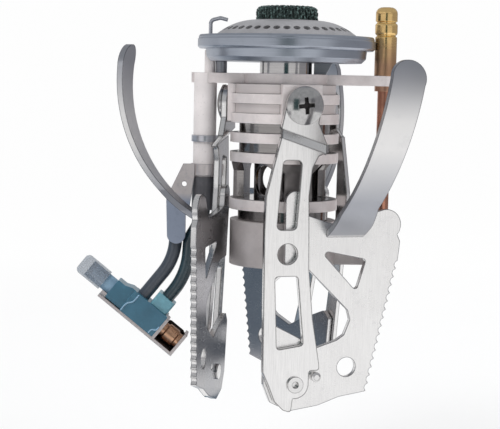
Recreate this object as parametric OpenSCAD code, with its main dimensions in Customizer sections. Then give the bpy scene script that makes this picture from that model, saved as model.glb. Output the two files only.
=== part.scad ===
// Folding canister-top camping stove: a finned burner body, three folding pot supports,
// a heat-return rod beside the burner and a spark igniter on two short leads.
// The origin is the centre of the canister thread, at the underside of the base.

/* [Base and valve] */
// Radius of the base that seats on the canister
base_r = 16.5; // [15.5:0.5:16.5]
// Height of the base
base_h = 13.9; // [13:0.1:15]
// Radius of the canister thread at its wall
thread_r = 5.35; // [5.2:0.05:5.6]
// Length of the canister thread
thread_len = 7; // [6:0.5:7.5]
// Thickness of the canister seal
seal_t = 1.4; // [1:0.1:1.6]
// Radius of the valve spindle
spindle_r = 1.7; // [1.4:0.1:1.8]
// Radius of the valve knob
knob_r = 4; // [3:0.5:4]
// Length of the valve knob
knob_len = 6; // [4:0.5:6]

/* [Finned body] */
// Height of the groove above the base
groove_h = 3.4; // [2.5:0.1:4]
// Height of the plain ring above the groove
ring_h = 3.3; // [2.5:0.1:4]
// Height of the air windows
window_h = 11.4; // [10:0.1:12.5]
// Radius of the core between the fins
core_r = 14.1; // [13:0.1:15]
// Radius of the body between the upper fins
land_r = 15.7; // [15:0.1:16.5]
// Radius of the fins
fin_r = 16.9; // [16:0.1:16.9]
// Thickness of a fin
fin_t = 3; // [2:0.1:3.5]
// Step from fin to fin
fin_pitch = 6; // [5.5:0.1:6.5]
// Number of fins
fin_count = 4; // [4:1:5]

/* [Burner] */
// Thickness of the cross plate
cross_t = 3.2; // [2.5:0.1:4]
// Free height of the neck
neck_h = 3.6; // [3:0.1:5]
// Outer radius of the mixing tube
tube_r = 8.1; // [7:0.1:8.5]
// Outer radius of the air shroud
shroud_r = 9.2; // [9:0.1:10]
// Radius of an air hole
air_hole_r = 4.6; // [3.5:0.1:4.8]
// Radius of the burner bowl
bowl_r = 25; // [24.5:0.1:26]
// Height of the burner bowl
bowl_h = 3.8; // [3:0.1:5]
// Radius of the burner ring
burner_r = 27.5; // [26.5:0.1:28]
// Height of the burner ring
burner_h = 4.2; // [3.5:0.1:5]
// Radius of the cap's foot
cap_r = 22.2; // [21.5:0.1:22.4]
// Height of the cap
cap_h = 4.9; // [4:0.1:6]
// Number of flame ports
slot_count = 40; // [24:1:44]
// Diameter of a flame port
slot_w = 1.9; // [1:0.1:2.1]
// Radius of the knitted flame mesh
mesh_r = 9.1; // [7:0.1:10]
// Height of the knitted flame mesh
mesh_h = 3.8; // [3:0.1:5]

/* [Pot supports] */
// Thickness of the sheet
sheet_t = 1.8; // [1.2:0.1:2]
// Distance from the screw to the rivet
leg_len = 84.2; // [80:0.2:90]
// Radius of the bar's eye round the screw
eye_r = 5.6; // [5:0.1:5.8]
// Radius of the screw head
head_r = 5.8; // [4.5:0.1:5.9]
// Radius of the screw shank
shank_r = 2; // [1.5:0.1:2.5]
// Radius of the rivet shank
rivet_r = 1.6; // [1.3:0.1:2]
// Radius of the stop pin
pin_r = 1.5; // [1.2:0.1:1.6]
// Radius of the strap, measured to the middle of the sheet
hoop_r = 44.3; // [43:0.1:46]
// Width of the strap
strap_w = 10.4; // [8:0.2:12]
// Step from tooth to tooth
tooth_pitch = 2.6; // [2:0.1:3.5]
// Depth of a tooth
tooth_depth = 0.7; // [0.4:0.1:0.9]

/* [Heat return and electrode] */
// Radius of the copper rod
rod_r = 2.2; // [1.8:0.1:2.4]
// Radius of the brass head
heat_r = 3.5; // [3:0.1:3.7]
// Height of the brass head
heat_h = 21.3; // [18:0.1:23]
// Radius of the insulator tube
insulator_r = 3.6; // [3:0.1:3.8]
// Length of the insulator tube
insulator_len = 29.5; // [26:0.1:31]
// Length of the boot under the insulator
boot_len = 10.6; // [9:0.1:12]
// Radius of the electrode wire
wire_r = 0.6; // [0.4:0.1:0.7]

/* [Igniter] */
// Radius of a lead
lead_r = 2.1; // [1.5:0.1:2.1]
// Travel of the button
button_travel = 3; // [2:0.1:3]
// Radius of the button's cap
button_r = 3.5; // [3.2:0.1:3.5]
// Radius of the plunger
plunger_r = 2.8; // [2.2:0.1:2.9]
// Depth of the igniter body, front to back
igniter_depth = 8; // [7.5:0.1:10]
// Thickness of the igniter frame
frame_t = 1; // [0.6:0.1:1.2]

/* [Hidden] */
$fn = 64;

// Directions of the three folding units, and of the valve and the lug, about the vertical axis
angle_a = -72;
angle_b = angle_a + 240;
angle_c = angle_a + 120;
unit_angles = [angle_a, angle_b, angle_c];

// How far each unit hangs swung from straight down
swing_a = 0;
swing_b = 9;
swing_c = 5;
valve_angle = angle_a + 180;

// Clearances: a running fit, a fixed fit and a gap between moving sheets
run = 0.05;
fixed = 0.03;
sheet_gap = 0.3;

// Heights, from the underside of the base upwards
groove_z = base_h;
ring_z = groove_z + groove_h;
window_z = ring_z + ring_h;
fins_z = window_z + window_h;
body_top = fins_z + fin_count * fin_pitch;
cross_top = body_top + cross_t;
bowl_z = cross_top + neck_h;
burner_z = bowl_z + bowl_h;
cap_z = burner_z + burner_h;
mesh_z = cap_z + cap_h;

// Thread socket, gas passage and valve axis in the base
seal_z = thread_len + 0.3;
seal_pocket_r = thread_r - 0.55;
socket_top = seal_z + seal_t;
passage_r = 1.25;
valve_z = socket_top + spindle_r + 0.7;
spindle_in = 3.4;
gland_t = 1.8;
gland_r = spindle_r + 1.8;
seal_depth = 1.6;
seal_r = spindle_r + 0.7;

// Planes of a folding unit, measured outwards from the vertical axis
boss_n = base_r + 0.4;
washer_t = 0.4;
tab_n = boss_n + washer_t + run;
bar_n = tab_n + sheet_t + sheet_gap;
head_n = tab_n + sheet_t + run;
head_t = 2.3;
pivot_z = body_top - eye_r - 0.6;
rivet_s = -1.8;
rivet_z = pivot_z - leg_len;

// The strap is an arc about a line beside the burner axis, starting where it meets the plate
hoop_n = 1.5;
hoop_z = pivot_z + 2;
hoop_out = hoop_r + sheet_t / 2;
hoop_in = hoop_r - sheet_t / 2;
root_z = hoop_z - sqrt(hoop_in * hoop_in - (tab_n + sheet_t - hoop_n) * (tab_n + sheet_t - hoop_n));
strap_top = hoop_z + 12;
strap_low_s = 13.2;
strap_high_s = 22.2;

// Joggle line across the bar, from its left end to its right end
joggle_left = [-7.4, pivot_z - 8.2];
joggle_right = [8.2, pivot_z - 13.4];
joggle_w = 2.6;

// Rounding of the sheets' outside corners
edge_round = 0.8;
joggle_lean = atan2(joggle_right[1] - joggle_left[1], joggle_right[0] - joggle_left[0]);

// Places beside the body: insulator, electrode, heat rod
clip_t = 0.6;
clip_gap = 0.32;
insulator_n = bar_n + sheet_t + clip_gap + clip_t + insulator_r;
insulator_at = insulator_n * [cos(angle_b - 0.1), sin(angle_b - 0.1)];
ceramic_at = (burner_r - 3.06) * [cos(angle_b), sin(angle_b)];
rod_y = 3.2;
rod_at = [sqrt(pow(burner_r + heat_r + 0.2, 2) - rod_y * rod_y), rod_y];
arm_w = 6.6;
plate_r = 13;
chamber_r = 20.5;
ceramic_r = 1.7;
boot_r = insulator_r + 0.2;
insulator_z = body_top - insulator_len;
boot_z = insulator_z - boot_len;
lug_t = 4.4;
lug_w = 5.4;

// Igniter: tilt of its axis, and stations along it and across it
igniter_tilt = 38.7;
block_x = 12.8;
block_top = 4.4;
block_low = -3.4;
main_x = 19;
main_end = 32.4;
main_low = -3.6;
collar_x = 28.4;
collar_w = 6.4;
collar_top = 8.9;
socket_deep = 3.6;
plunger_lap = 1.6;
wall_end = 41;
frame_start = 10.8;
guide_top = plunger_r + 0.7;
earth_side = 8.7;
earth_drop = 3.9;

// Routes of the leads and the electrode: each step is a straight length, a bend and its radius
lead_ht_steps = [[3.4, 30, 8], [4.4, -27, 8], [2.5, igniter_tilt - 3, 22], [2.5 + socket_deep, 0, 0]];
lead_ht_start = [insulator_at[0], insulator_at[1], boot_z + 3.4];
lead_earth_steps = [[5.5, igniter_tilt, 18]];
lead_earth_start = [insulator_at[0] - earth_side, insulator_at[1], boot_z - earth_drop];
electrode_steps = [[cap_z + 3.2 - cross_top, 76, 1.4], [1.8, 28, 1.4], [2, 0, 0]];

// Where a route ends, as sideways and forward distances from its start
function route_end(steps, i = 0, at = [0, 0], head = 0) =
    i == len(steps) ? at : route_end(steps, i + 1,
        at + steps[i][0] * [sin(head), cos(head)] + sign(steps[i][1]) * steps[i][2] * [
            cos(head) - cos(head + steps[i][1]), sin(head + steps[i][1]) - sin(head)
        ],
        head + steps[i][1]);

// The igniter hangs where the high-tension lead ends
lead_ht_run = route_end(lead_ht_steps);
lead_earth_run = route_end(lead_earth_steps);
lead_ht_end = lead_ht_start - [lead_ht_run[0], 0, lead_ht_run[1]];
lead_earth_end = lead_earth_start - [lead_earth_run[0], 0, lead_earth_run[1]];
lead_gap = lead_earth_end - lead_ht_end;
earth_x = collar_x + lead_gap[0] * cos(igniter_tilt) - lead_gap[2] * sin(igniter_tilt);
earth_len = collar_top - socket_deep + lead_gap[0] * sin(igniter_tilt) + lead_gap[2] * cos(igniter_tilt)
    - block_top + 2;

// Shared shapes

// Puts (sideways, up, outwards) drawings into the plane of a folding unit
module on_unit(angle) {
    rotate([0, 0, angle + 90]) rotate([90, 0, 0]) children();
}

// Puts a drawing of a folding unit in its plane, swung about its screw
module on_leg(angle, swing) {
    on_unit(angle) translate([0, pivot_z, 0]) rotate([0, 0, swing]) translate([0, -pivot_z, 0]) children();
}

// Puts drawings with X along the igniter, towards its contact, and Z across it
module on_igniter() {
    translate(lead_ht_end) rotate([0, igniter_tilt, 0])
        translate([-collar_x, 0, socket_deep - collar_top]) children();
}

// Round bar along a route of straights and bends, starting upwards and bending in the XZ plane
module bent_bar(steps, r, i = 0) {
    turn = steps[i][1];
    bend_r = steps[i][2];
    side = turn < 0 ? 180 : 0;
    lap = 0.06;
    before = i > 0 ? lap : 0;
    after = turn != 0 ? lap : 0;
    translate([0, 0, -before]) cylinder(h = before + steps[i][0] + after, r = r);
    if (turn != 0) translate([0, 0, steps[i][0]]) {
        rotate([0, 0, side]) translate([bend_r, 0, 0]) rotate([0, 0, 180]) rotate([90, 0, 0])
            rotate_extrude(angle = abs(turn)) translate([bend_r, 0]) circle(r = r + 0.02);
        if (i + 1 < len(steps))
            translate([sign(turn) * bend_r * (1 - cos(turn)), 0, bend_r * sin(abs(turn))])
                rotate([0, turn, 0]) bent_bar(steps, r, i + 1);
    }
}

// Flat tube about the vertical axis
module ring(r_out, r_in, h) {
    difference() {
        cylinder(h = h, r = r_out);
        translate([0, 0, -1]) cylinder(h = h + 2, r = r_in);
    }
}

// Straight arm with a round end, drawn flat
module arm(to, w) {
    proud = 0.1;
    rotate([0, 0, atan2(to[1], to[0])]) translate([0, -w / 2]) square([norm(to), w]);
    translate(to) circle(d = w + proud);
}

// Arc that rounds the corner of an outline
function corner_arc(before, at, after, r, steps = 5) =
    let (
        a = (before - at) / norm(before - at),
        b = (after - at) / norm(after - at),
        half = acos(max(-1, min(1, a * b))) / 2,
        centre = at + (a + b) / norm(a + b) * r / sin(half),
        from = at + a * r / tan(half) - centre,
        to = at + b * r / tan(half) - centre,
        first = atan2(from[1], from[0]),
        sweep = (atan2(to[1], to[0]) - first + 540) % 360 - 180
    )
    [for (i = [0 : steps]) centre + r * [cos(first + sweep * i / steps), sin(first + sweep * i / steps)]];

// Outline with all its corners rounded
function rounded(points, r) = [
    for (i = [0 : len(points) - 1])
        each corner_arc(points[(i + len(points) - 1) % len(points)], points[i], points[(i + 1) % len(points)], r)
];

// Base, valve and body

module base_mount() color("rosybrown") difference() {
    union() {
        cylinder(h = base_h, r = base_r);
        linear_extrude(lug_t) arm(rod_at, lug_w);
        translate(rod_at) cylinder(h = lug_t, r = rod_r + 1.6);
    }
    translate([0, 0, -1]) cylinder(h = thread_len + 1, r = thread_r);
    cylinder(h = socket_top, r = seal_pocket_r);
    cylinder(h = base_h + 1, r = passage_r);
    translate([rod_at[0], rod_at[1], 1]) cylinder(h = lug_t, r = rod_r + fixed);
    rotate([0, 0, valve_angle]) translate([spindle_in, 0, valve_z]) rotate([0, 90, 0]) {
        cylinder(h = base_r, r = spindle_r + run);
        translate([0, 0, base_r - spindle_in - seal_depth - 0.4]) cylinder(h = base_r, r = seal_r + fixed);
    }
    rotate([0, 0, valve_angle]) translate([passage_r / 2, 0, valve_z]) rotate([0, 90, 0])
        cylinder(h = spindle_in, r = 0.8);
}

module valve_block() color("rosybrown") difference() {
    union() {
        translate([0, 0, groove_z]) cylinder(h = groove_h, r = core_r);
        translate([0, 0, ring_z]) cylinder(h = ring_h, r = fin_r);
    }
    translate([0, 0, groove_z - 1]) cylinder(h = groove_h + ring_h + 2, r = passage_r);
    translate([0, 0, window_z - 3]) cylinder(h = 4, r = 2.5 + fixed);
}

module window_post() {
    foot_w = 8.4;
    flare = 3;
    linear_extrude(3.4) polygon([
        [-foot_w / 2, window_z], [foot_w / 2, window_z], [foot_w / 2, fins_z - flare],
        [foot_w / 2 + flare, fins_z], [-foot_w / 2 - flare, fins_z], [-foot_w / 2, fins_z - flare]
    ]);
}

module finned_body() color("thistle") difference() {
    boss_w = 12.6;
    boss_h = 2 * eye_r + 0.4;
    land_z = fins_z + floor(fin_count / 2) * fin_pitch;
    union() {
        translate([0, 0, fins_z]) cylinder(h = body_top - fins_z, r = core_r);
        translate([0, 0, land_z]) cylinder(h = body_top - land_z, r = land_r);
        for (i = [0 : fin_count - 1]) translate([0, 0, fins_z + i * fin_pitch]) cylinder(h = fin_t, r = fin_r);
        for (angle = unit_angles) on_unit(angle) {
            translate([0, 0, 11.7]) window_post();
            translate([-boss_w / 2, body_top - boss_h, 10]) cube([boss_w, boss_h, boss_n - 10]);
        }
    }
    for (angle = unit_angles) on_unit(angle) {
        translate([-base_r, pivot_z - leg_len, boss_n]) cube([2 * base_r, 2 * leg_len, 5]);
        translate([0, pivot_z, 10.4]) cylinder(h = 10, r = shank_r + fixed);
    }
    translate([0, 0, fins_z - 1]) cylinder(h = body_top, r = tube_r + fixed);
}

module air_shroud() color("dimgray") difference() {
    translate([0, 0, window_z]) ring(shroud_r, tube_r + fixed, window_h);
    for (angle = unit_angles) rotate([0, 0, angle + 60]) translate([0, 0, window_z + window_h / 2])
        rotate([0, 90, 0]) cylinder(h = 2 * shroud_r, r = air_hole_r);
}

module gas_jet() color("goldenrod") translate([0, 0, window_z]) difference() {
    union() {
        translate([0, 0, -2.6]) cylinder(h = 2.6, r = 2.5);
        cylinder(h = 2.4, r = 3.6, $fn = 6);
        cylinder(h = 5.2, r = 2.2);
        translate([0, 0, 5.2]) cylinder(h = 1.4, r1 = 2.2, r2 = 1.2);
    }
    translate([0, 0, -3]) cylinder(h = 8, r = 1.2);
    cylinder(h = 8, r = 0.4);
}

module mixing_tube() color("gainsboro") translate([0, 0, fins_z])
    ring(tube_r, tube_r - 1.2, bowl_z - fins_z);

module canister_seal() color("black") translate([0, 0, seal_z]) ring(seal_pocket_r - fixed, 2.6, seal_t);

module depressor_pin() color("goldenrod") translate([0, 0, thread_len + 0.3])
    cylinder(h = seal_t + 1.6, r = passage_r - fixed);

module valve_axis() {
    rotate([0, 0, valve_angle]) translate([0, 0, valve_z]) rotate([0, 90, 0]) children();
}

module spindle_seal() color("black") valve_axis()
    translate([0, 0, base_r - seal_depth - 0.4]) ring(seal_r, spindle_r + run, seal_depth);

module spindle_gland() color("goldenrod") valve_axis() translate([0, 0, base_r]) difference() {
    cylinder(h = gland_t, r = gland_r, $fn = 6);
    translate([0, 0, -1]) cylinder(h = gland_t + 2, r = spindle_r + run);
}

module valve_spindle() color("goldenrod") valve_axis() {
    translate([0, 0, spindle_in + 0.3]) cylinder(h = base_r + gland_t + 2 - spindle_in, r = spindle_r);
    translate([0, 0, spindle_in - 0.7]) cylinder(h = 1, r1 = 0.5, r2 = 0.7);
}

module valve_knob() color("dimgray") valve_axis() translate([0, 0, base_r + gland_t + 0.3]) difference() {
    flute_count = 12;
    cylinder(h = knob_len, r = knob_r);
    translate([0, 0, -1]) cylinder(h = 3, r = spindle_r + fixed);
    for (i = [0 : flute_count - 1]) rotate([0, 0, i * 360 / flute_count])
        translate([knob_r + 0.3, 0, 1]) cylinder(h = knob_len, r = 0.6, $fn = 16);
}

// Cross plate and burner

module top_plate() color("thistle") translate([0, 0, body_top]) difference() {
    clasp_t = 1;
    linear_extrude(cross_t) {
        circle(r = plate_r);
        arm(insulator_at, arm_w);
        arm(rod_at, arm_w);
        translate(insulator_at) intersection() {
            circle(r = insulator_r + clasp_t);
            translate([-arm_w, 0.8]) square(2 * arm_w);
        }
    }
    translate([0, 0, -1]) cylinder(h = cross_t + 2, r = tube_r + fixed);
    translate([insulator_at[0], insulator_at[1], -1]) cylinder(h = cross_t + 2, r = insulator_r + fixed);
    translate([rod_at[0], rod_at[1], -1]) cylinder(h = cross_t + 2, r = rod_r + fixed);
}

module burner_struts() color("slategray") {
    translate([0, 3, cross_top]) rotate([90, 0, 0]) linear_extrude(6)
        polygon([[tube_r + 0.6, 0], [12.4, 0], [14.4, neck_h], [tube_r + 0.6, neck_h]]);
    translate([ceramic_at[0] + 3.6, ceramic_at[1] - 0.8, cross_top]) cylinder(h = neck_h, r = 1.8);
}

module burner_bowl() color("dimgray") difference() {
    floor_t = 1.4;
    foot_h = 1.3;
    translate([0, 0, bowl_z]) rotate_extrude() polygon([
        [0, 0], [bowl_r - 0.3 - foot_h, 0], [bowl_r - 0.3, foot_h], [bowl_r, bowl_h], [0, bowl_h]
    ]);
    translate([0, 0, bowl_z + floor_t]) cylinder(h = bowl_h, r = chamber_r);
    translate([0, 0, bowl_z - 1]) cylinder(h = bowl_h, r = tube_r - 1.2);
    translate([ceramic_at[0], ceramic_at[1], bowl_z - 1]) cylinder(h = bowl_h + 2, r = ceramic_r + 0.4);
}

module burner_ring() color("lightsteelblue") difference() {
    edge = 0.6;
    band_h = 1.3;
    step = 0.25;
    rotate_extrude() polygon([
        [chamber_r, burner_z], [burner_r - edge, burner_z], [burner_r, burner_z + edge],
        [burner_r, cap_z - band_h], [burner_r - step, cap_z - band_h + step], [burner_r - step, cap_z - edge],
        [burner_r - edge, cap_z], [chamber_r, cap_z]
    ]);
    translate([ceramic_at[0], ceramic_at[1], burner_z - 1]) cylinder(h = burner_h + 2, r = wire_r + 0.5);
}

module burner_cap() color("silver") translate([0, 0, cap_z]) difference() {
    wall = 1.2;
    steps = 10;
    flat_r = mesh_r + 0.4;
    foot_r = chamber_r - 0.3;
    dome = 2.1;
    port_t = 0.77;
    port_r = flat_r + port_t * (cap_r - flat_r);
    port_z = cap_h * (1 - pow(port_t, dome));
    port_lean = atan(cap_h * dome * pow(port_t, dome - 1) / (cap_r - flat_r));
    rotate_extrude() polygon(concat(
        [[0, cap_h]],
        [for (i = [0 : steps]) [flat_r + (cap_r - flat_r) * i / steps, cap_h * (1 - pow(i / steps, dome))]],
        [for (i = [steps : -1 : 0]) [
            flat_r + (foot_r - flat_r) * i / steps, (cap_h - wall) * (1 - pow(i / steps, dome))
        ]],
        [[0, cap_h - wall]]
    ));
    for (i = [0 : slot_count - 1]) rotate([0, 0, i * 360 / slot_count])
        translate([port_r, 0, port_z]) rotate([0, port_lean, 0]) translate([0, 0, -2.2])
            cylinder(h = 4, d = slot_w, $fn = 20);
}

module flame_mesh() color("darkslategray") translate([0, 0, mesh_z]) {
    edge = 1.4;
    rotate_extrude() {
        square([mesh_r - edge, mesh_h]);
        square([mesh_r, mesh_h - edge]);
        translate([mesh_r - edge, mesh_h - edge]) circle(r = edge);
    }
}

// Heat return

module heat_rod() color("peru") translate([rod_at[0], rod_at[1], 1]) cylinder(h = cross_top + 4, r = rod_r);

module heat_head() color("darkgoldenrod") translate([rod_at[0], rod_at[1], cross_top]) difference() {
    groove = 0.5;
    bead_low = heat_h - 8.5;
    bead_high = heat_h - 5.1;
    crown_r = 2;
    crown_low = heat_h - 4.4;
    rotate_extrude() polygon(concat(
        [
            [0, 0], [heat_r - 0.1, 0], [heat_r - 0.1, bead_low - 0.8], [heat_r - groove, bead_low - 0.5],
            [heat_r - groove, bead_low - 0.2], [heat_r - 0.2, bead_low], [heat_r, bead_low + 0.5],
            [heat_r, bead_high - 0.5], [heat_r - 0.2, bead_high], [heat_r - groove, bead_high + 0.1],
            [heat_r - groove, crown_low - 0.2], [heat_r - 0.1, crown_low]
        ],
        [for (a = [0 : 15 : 90]) [heat_r - 0.1 - crown_r + crown_r * cos(a), heat_h - crown_r + crown_r * sin(a)]],
        [[0, heat_h]]
    ));
    translate([0, 0, -1]) cylinder(h = 6.2, r = rod_r + fixed);
}

module rod_collar() color("goldenrod") translate([rod_at[0], rod_at[1], body_top - 1.6])
    ring(rod_r + 1, rod_r + fixed, 1.6);

// Electrode and insulator

module electrode_wire() color("gray") translate([ceramic_at[0], ceramic_at[1], cross_top + 0.4])
    rotate([0, 0, atan2(-ceramic_at[1], -ceramic_at[0])]) bent_bar(electrode_steps, wire_r);

module electrode_ceramic() color("linen") translate([ceramic_at[0], ceramic_at[1], body_top + 0.6]) difference() {
    cylinder(h = burner_z - body_top - 1, r = ceramic_r);
    translate([0, 0, 2.8]) cylinder(h = burner_z, r = wire_r + fixed);
}

module insulator_tube() color("thistle") difference() {
    bore_r = 1;
    translate([insulator_at[0], insulator_at[1], insulator_z])
        cylinder(h = insulator_len + cross_t - 0.1, r = insulator_r);
    translate([insulator_at[0], insulator_at[1], insulator_z - 1]) cylinder(h = insulator_len + 2, r = bore_r);
    translate([ceramic_at[0], ceramic_at[1], body_top + 0.5]) cylinder(h = cross_t, r = ceramic_r + fixed);
}

module insulator_clip() color("silver")
    translate([insulator_at[0], insulator_at[1], insulator_z + 11]) ring(insulator_r + clip_t, insulator_r + fixed, 2);

module insulator_boot() color("dimgray") translate([insulator_at[0], insulator_at[1], boot_z]) difference() {
    cylinder(h = boot_len, r = boot_r);
    translate([0, 0, -1]) cylinder(h = 6, r = lead_r + fixed);
}

module igniter_bracket() color("lightgray") {
    back_y = insulator_at[1] - lead_r - sheet_gap;
    band_h = 3.6;
    ear_x = insulator_at[0] - 8.3;
    join_x = insulator_at[0] - sqrt(pow(insulator_r + fixed, 2) - pow(insulator_at[1] - back_y, 2)) - 0.1;
    translate([insulator_at[0], insulator_at[1], insulator_z + 0.4])
        ring(insulator_r + clip_t, insulator_r + fixed, band_h);
    translate([0, back_y, 0]) rotate([90, 0, 0]) linear_extrude(1.2) difference() {
        union() {
            polygon([
                [join_x, insulator_z + 4], [ear_x + 1.9, insulator_z + 4], [ear_x - 3.3, insulator_z - 7],
                [ear_x - 2.9, boot_z - 7.9], [ear_x + 2.9, boot_z - 7.9], [ear_x + 2.9, boot_z - 1.3],
                [insulator_at[0] - boot_r - 0.4, boot_z + 1.1], [join_x, insulator_z + 0.4]
            ]);
            translate([ear_x, boot_z - 7.9]) circle(r = 2.9);
        }
        translate([ear_x + 2.3, insulator_z - 2.4]) circle(r = 0.8);
    }
}

// Igniter and its leads

module lead_ht() color("darkslategray") translate(lead_ht_start) rotate([0, 180, 0])
    bent_bar(lead_ht_steps, lead_r);

module lead_earth() color("darkslategray") translate(lead_earth_start) rotate([0, 180, 0])
    bent_bar(concat(lead_earth_steps, [[earth_len, 0, 0]]), lead_r);

module lead_collar() color("cadetblue") on_igniter() difference() {
    half = collar_w / 2;
    translate([collar_x, 0, block_top]) linear_extrude(collar_top - block_top)
        polygon(rounded([[-half, -half], [half, -half], [half, half], [-half, half]], 0.8));
    translate([collar_x, 0, collar_top - socket_deep - 0.1]) cylinder(h = collar_top, r = lead_r + fixed);
}

// Guide round the plunger with a sloping shoulder, and the deeper main block
module igniter_body() color("steelblue") on_igniter() difference() {
    shoulder = 0.7;
    union() {
        translate([0, igniter_depth / 2 - shoulder, 0]) rotate([90, 0, 0])
            linear_extrude(igniter_depth - 2 * shoulder) polygon(rounded([
                [block_x, block_low], [main_x + 2, block_low], [main_x + 2, block_top], [main_x - 1.2, block_top],
                [main_x - 3.4, guide_top], [block_x, guide_top]
            ], 0.4));
        translate([0, igniter_depth / 2, 0]) rotate([90, 0, 0]) linear_extrude(igniter_depth) polygon(rounded([
            [main_x, main_low], [main_end, main_low], [main_end, block_top], [main_x, block_top]
        ], 0.4));
    }
    translate([block_x - 1, 0, 0]) rotate([0, 90, 0])
        cylinder(h = plunger_lap + button_travel + 1.4, r = plunger_r + run);
    translate([earth_x, 0, block_top - 2.1]) cylinder(h = 6, r = lead_r + fixed);
}

module igniter_plunger() color("lightskyblue") on_igniter() translate([3.2, 0, 0]) rotate([0, 90, 0])
    cylinder(h = block_x + plunger_lap - 3.2, r = plunger_r);

module igniter_button() color("lightgray", 0.6) on_igniter() difference() {
    cap_len = block_x - button_travel - 0.2;
    rotate([0, 90, 0]) rotate_extrude() {
        square([button_r - 0.9, cap_len]);
        translate([0, 1.5]) square([button_r, cap_len - 1.5]);
        translate([button_r - 1.5, 1.5]) circle(r = 1.5);
    }
    translate([3.2, 0, 0]) rotate([0, 90, 0]) cylinder(h = cap_len, r = plunger_r + fixed);
}

module igniter_frame() color("silver") on_igniter() {
    translate([frame_start, -igniter_depth / 2, main_low - frame_t])
        cube([wall_end - frame_start, igniter_depth, frame_t]);
    for (x = [main_end, wall_end - frame_t]) translate([x, -igniter_depth / 2, main_low - frame_t])
        cube([frame_t, igniter_depth, 7.4 + frame_t]);
}

module igniter_contact() color("peru") on_igniter() translate([main_end + frame_t, 0, 0]) rotate([0, 90, 0]) {
    contact_len = wall_end - main_end - 2 * frame_t;
    contact_r = 2.9;
    neck = 0.5;
    rotate_extrude() polygon([
        [0, 0], [contact_r - neck, 0], [contact_r - neck, 1.1], [contact_r, 1.1 + neck],
        [contact_r, contact_len - 1.1 - neck], [contact_r - neck, contact_len - 1.1],
        [contact_r - neck, contact_len], [0, contact_len]
    ]);
}

// Folding units

module pivot_screws() color("silver") for (angle = unit_angles) on_unit(angle) translate([0, pivot_z, 0])
    difference() {
        rim_t = 0.6;
        rise = head_t - rim_t;
        dome_r = (head_r * head_r + rise * rise) / (2 * rise);
        union() {
            translate([0, 0, 10.6]) cylinder(h = head_n - 10.6, r = shank_r);
            intersection() {
                translate([0, 0, head_n]) cylinder(h = head_t, r = head_r);
                translate([0, 0, head_n + head_t - dome_r]) sphere(r = dome_r);
            }
        }
        for (turn = [6, 96]) rotate([0, 0, turn]) translate([-2.5, -0.6, head_n + 0.7]) cube([5, 1.2, head_t]);
        translate([0, 0, head_n + 0.5]) cylinder(h = head_t, r = 1.1);
    }

module wave_washers() color("gray") for (angle = unit_angles) on_unit(angle) translate([0, pivot_z, boss_n])
    ring(eye_r - 0.4, shank_r + fixed, washer_t);

// Bar outline below the joggle, with its left edge, hook, scoop, notch and right edge
module bar_face() {
    scoop_r = 4.4;
    lower_left = [-12, rivet_z + 4];
    notch_top = rivet_z + 2 + pin_r + 0.6;
    difference() {
        union() {
            polygon(rounded([
                joggle_left, [-12.1, pivot_z - 27], [-12.4, pivot_z - 38], lower_left, [-10.2, rivet_z],
                [-8.2, rivet_z - 5], [-5.4, rivet_z - 7.8], [-2.9, rivet_z - 8.6], [-2.3, rivet_z - 4],
                [rivet_s + scoop_r, rivet_z], [rivet_s + scoop_r, notch_top], [5.9, notch_top], [5.8, notch_top + 2],
                [3.4, rivet_z + 20], [1.9, rivet_z + 35], [1.4, pivot_z - 27], [2.3, pivot_z - 18.6],
                [4.2, pivot_z - 15], joggle_right
            ], edge_round));
            translate([rivet_s, rivet_z]) circle(r = scoop_r);
        }
        polygon(rounded([
            [-6.9, pivot_z - 16.3], [-1, pivot_z - 16.3], [-2.4, pivot_z - 37.1], [-8.6, pivot_z - 37.1]
        ], 1.4));
        translate([-5, pivot_z - 44.4]) circle(r = 3.1);
        polygon(rounded([
            [-8.8, rivet_z + 33], [-1.6, rivet_z + 33], [0.6, rivet_z + 12], [-7.8, rivet_z + 10.8]
        ], 1));
        translate([rivet_s, rivet_z]) circle(r = rivet_r + fixed);
    }
}

// Eye round the screw, narrowing to the joggle
module bar_eye() {
    difference() {
        union() {
            translate([0, pivot_z]) circle(r = eye_r);
            polygon([
                [-eye_r, pivot_z], joggle_left, joggle_right, [eye_r - 0.9, pivot_z - 5.2], [eye_r, pivot_z]
            ]);
        }
        translate([0, pivot_z]) circle(r = shank_r + run);
    }
}

// Puts drawings with X along the joggle line and Y towards the eye
module on_joggle() {
    translate(joggle_left) rotate([0, 0, joggle_lean]) children();
}

// Slanted step that carries the bar outwards from its eye, let into the sheet on both sides
module bar_joggle() {
    step = bar_n - tab_n;
    half = joggle_w / 2;
    lap = 0.5;
    skin = 0.1;
    translate([0, 0, tab_n]) on_joggle() translate([0.3, 0, 0]) rotate([90, 0, 90])
        linear_extrude(norm(joggle_right - joggle_left) - 1.6)
            polygon([
                [half + lap, skin], [half + lap, sheet_t - skin], [half, sheet_t - skin],
                [-half, step + sheet_t - skin], [-half - lap, step + sheet_t - skin],
                [-half - lap, step + skin], [-half, step + skin], [half, skin]
            ]);
}

module leg_bar(angle, swing) color("gainsboro") on_leg(angle, swing) {
    translate([0, 0, tab_n]) linear_extrude(sheet_t) intersection() {
        bar_eye();
        on_joggle() translate([-leg_len, joggle_w / 2]) square(2 * leg_len);
    }
    bar_joggle();
    translate([0, 0, bar_n]) linear_extrude(sheet_t) intersection() {
        bar_face();
        on_joggle() translate([-leg_len, -joggle_w / 2 - 2 * leg_len]) square(2 * leg_len);
    }
}

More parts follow.
